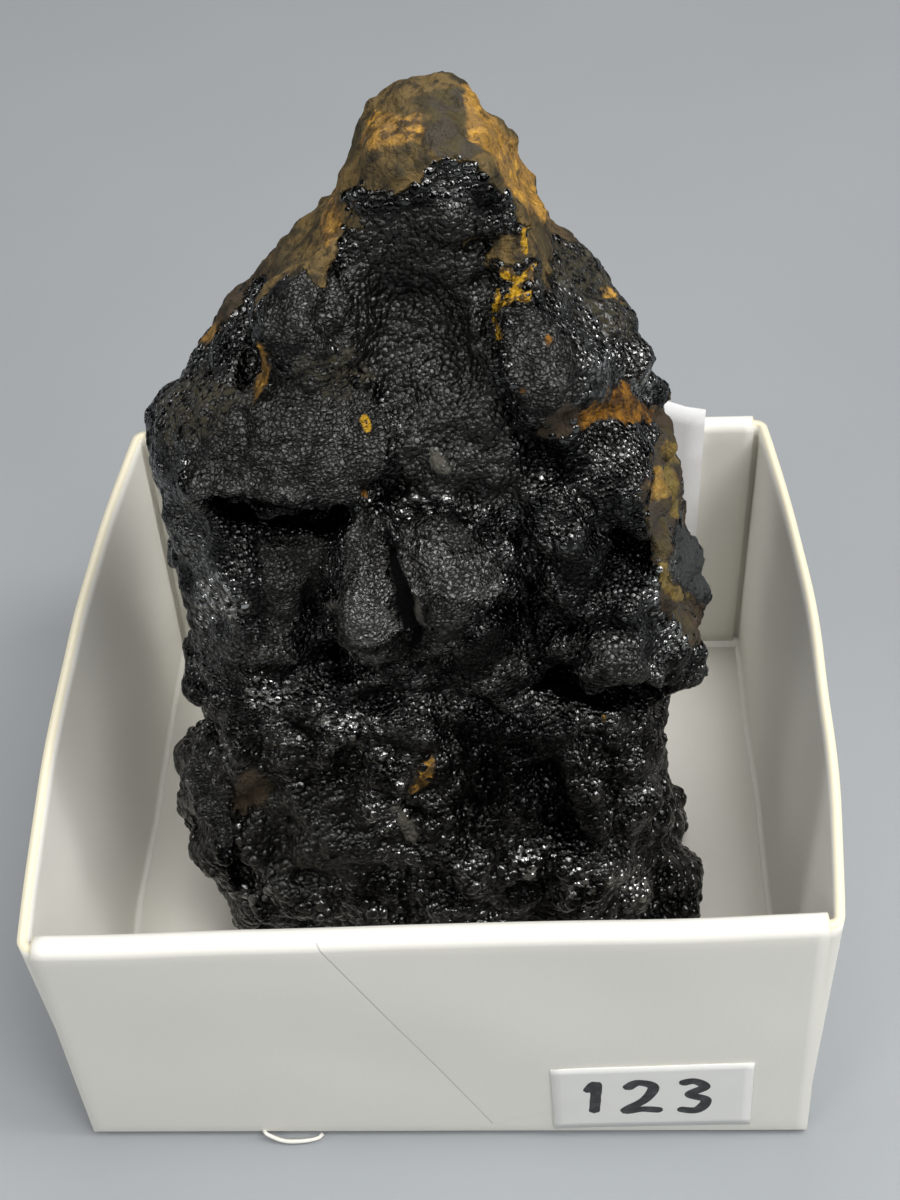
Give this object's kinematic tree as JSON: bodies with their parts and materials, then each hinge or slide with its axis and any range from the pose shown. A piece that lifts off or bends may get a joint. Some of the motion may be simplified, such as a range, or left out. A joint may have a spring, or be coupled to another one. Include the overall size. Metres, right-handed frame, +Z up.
{
  "type": "goethite specimen in a card tray",
  "caption": "Tall knobbly black goethite mass with a brown and ochre rind, standing upright in a small open folded card tray with a blank label card behind it.",
  "frame": {"origin": "middle of the tray's underside, on the surface that it stands on", "axes": "+Z up, +X to the viewer's right, and the side with the sticker faces -Y"},
  "size_m": [0.0634, 0.059, 0.08],
  "materials": {
    "goethite": "glossy black beaded crust with brown and ochre patches",
    "tray_card": "smooth white coated card",
    "sticker_paper": "matt white paper",
    "label_paper": "matt pale grey paper"
  },
  "bodies": {
    "root": {"goethite_mass": "goethite", "card_tray": "tray_card", "number_sticker": "sticker_paper", "label_card": "label_paper"}
  },
  "joints": []
}
